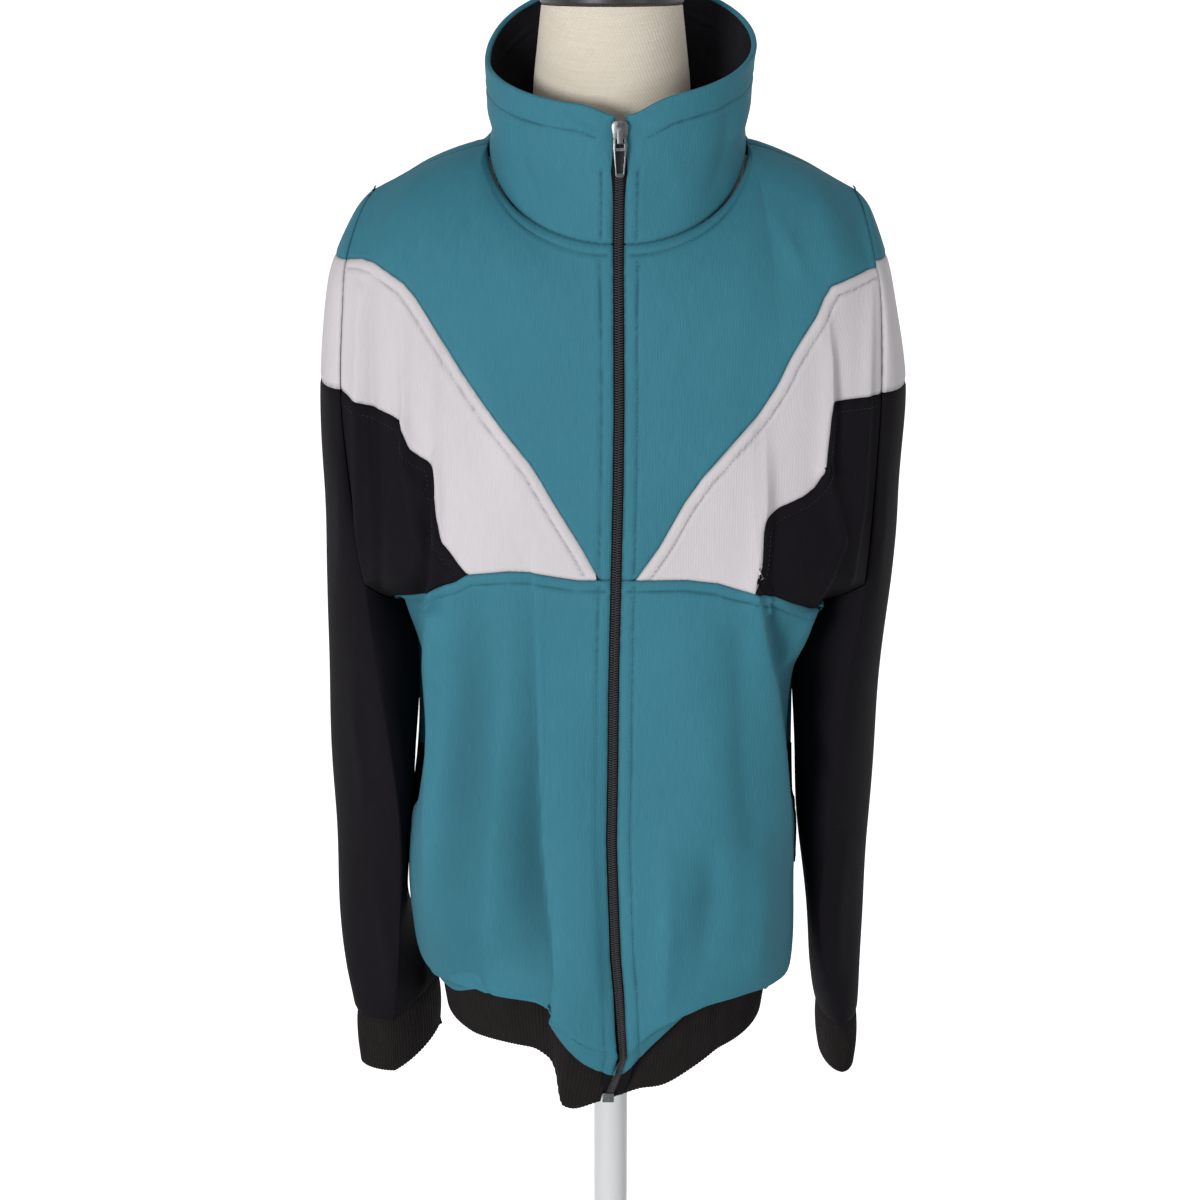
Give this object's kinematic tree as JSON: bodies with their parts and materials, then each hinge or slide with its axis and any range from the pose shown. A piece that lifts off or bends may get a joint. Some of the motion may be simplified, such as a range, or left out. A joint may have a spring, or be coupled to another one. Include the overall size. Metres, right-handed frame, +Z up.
{
  "type": "track jacket on dress form",
  "caption": "Zipped stand-collar track jacket in colour-blocked knit, worn on a limbless dress form on a pole with a round base.",
  "frame": {"origin": "centre of the round base's underside, on the floor", "axes": "+Z up, the wearer faces -Y, the wearer's left is +X"},
  "size_m": [0.4065, 0.34, 1.456],
  "materials": {
    "teal_knit": "smooth warp knit with a slight sheen",
    "pale_knit": "smooth warp knit",
    "black_knit": "smooth warp knit",
    "rib": "one by one rib knit",
    "zip_tape": "woven tape",
    "zip_coil": "moulded coil",
    "zip_metal": "satin plated",
    "linen": "coarse linen cover",
    "cap_satin": "black satin",
    "stand_steel": "pale satin paint"
  },
  "bodies": {
    "jacket_on_form": {"front_lower_left": "teal_knit", "front_lower_right": "teal_knit", "front_yoke_left": "teal_knit", "front_yoke_right": "teal_knit", "back": "teal_knit", "sleeve_cap_left": "teal_knit", "sleeve_cap_right": "teal_knit", "collar_outer": "teal_knit", "front_chevron_left": "pale_knit", "front_chevron_right": "pale_knit", "sleeve_band_left": "pale_knit", "sleeve_band_right": "pale_knit", "front_side_left": "black_knit", "front_side_right": "black_knit", "pocket_left": "black_knit", "pocket_right": "black_knit", "sleeve_lower_left": "black_knit", "sleeve_lower_right": "black_knit", "collar_inner": "black_knit", "cuff_left": "rib", "cuff_right": "rib", "hem_band": "rib", "zip_tape_left": "zip_tape", "zip_tape_right": "zip_tape", "zip_coil_left": "zip_coil", "zip_coil_right": "zip_coil", "zip_slider": "zip_metal", "zip_bottom_box": "zip_metal", "form_torso": "linen", "form_neck_cap": "cap_satin", "stand_pole": "stand_steel", "stand_base": "stand_steel"},
    "pull_tab": {"zip_pull_tab": "zip_metal"}
  },
  "joints": [
    {"name": "pull_tab_swing", "type": "hinge", "parent": "jacket_on_form", "child": "pull_tab", "pos_m": [0.00505, -0.0768, 1.3527], "axis": [-1, 0, 0], "range_deg": [0, 150]}
  ]
}
